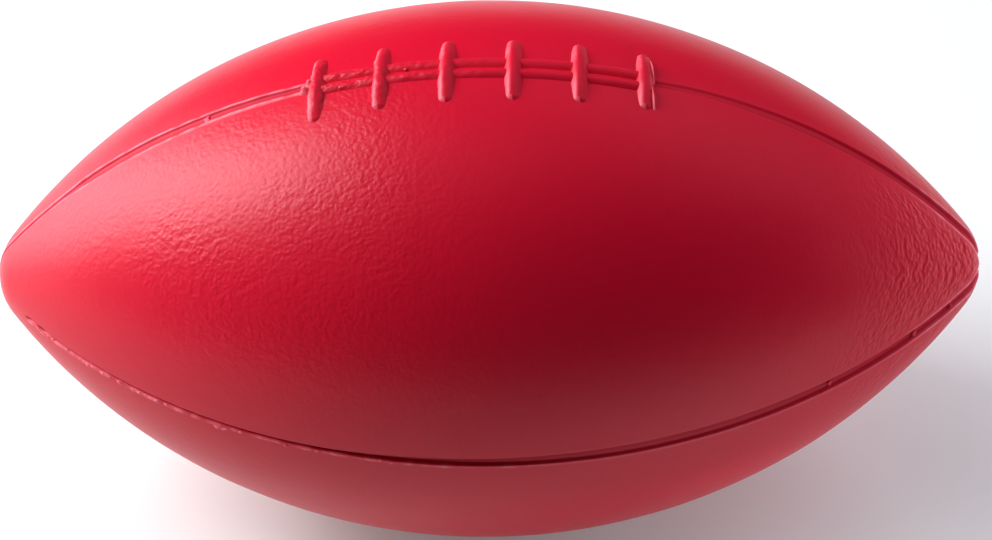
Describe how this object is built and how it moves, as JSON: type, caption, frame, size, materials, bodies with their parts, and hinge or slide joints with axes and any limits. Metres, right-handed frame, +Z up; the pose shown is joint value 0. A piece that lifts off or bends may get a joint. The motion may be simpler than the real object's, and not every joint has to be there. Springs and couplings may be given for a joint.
{
  "type": "american football",
  "caption": "Moulded foam american football: pointed foam core in a tough grained skin with seam grooves and raised moulded lacing, for throwing and catching.",
  "frame": {"origin": "the ball's centre", "axes": "+X along the ball from tip to tip, +Z up through the lacing, -Y towards the viewer of the picture's front panel"},
  "size_m": [0.2666, 0.1454, 0.1479],
  "materials": {
    "skin": "satin red polyurethane coat with a fine leather-like crinkle grain",
    "lacing": "the same satin red coat, smoother, over the moulded lacing",
    "foam": "matt pale foam with fine cells"
  },
  "bodies": {
    "root": {"foam_core": "foam", "upper_front_panel": "skin", "upper_rear_panel": "skin", "lower_rear_panel": "skin", "lower_front_panel": "skin", "front_lace_ridge": "lacing", "rear_lace_ridge": "lacing", "lace_bar_1": "lacing", "lace_bar_2": "lacing", "lace_bar_3": "lacing", "lace_bar_4": "lacing", "lace_bar_5": "lacing", "lace_bar_6": "lacing"}
  },
  "joints": []
}
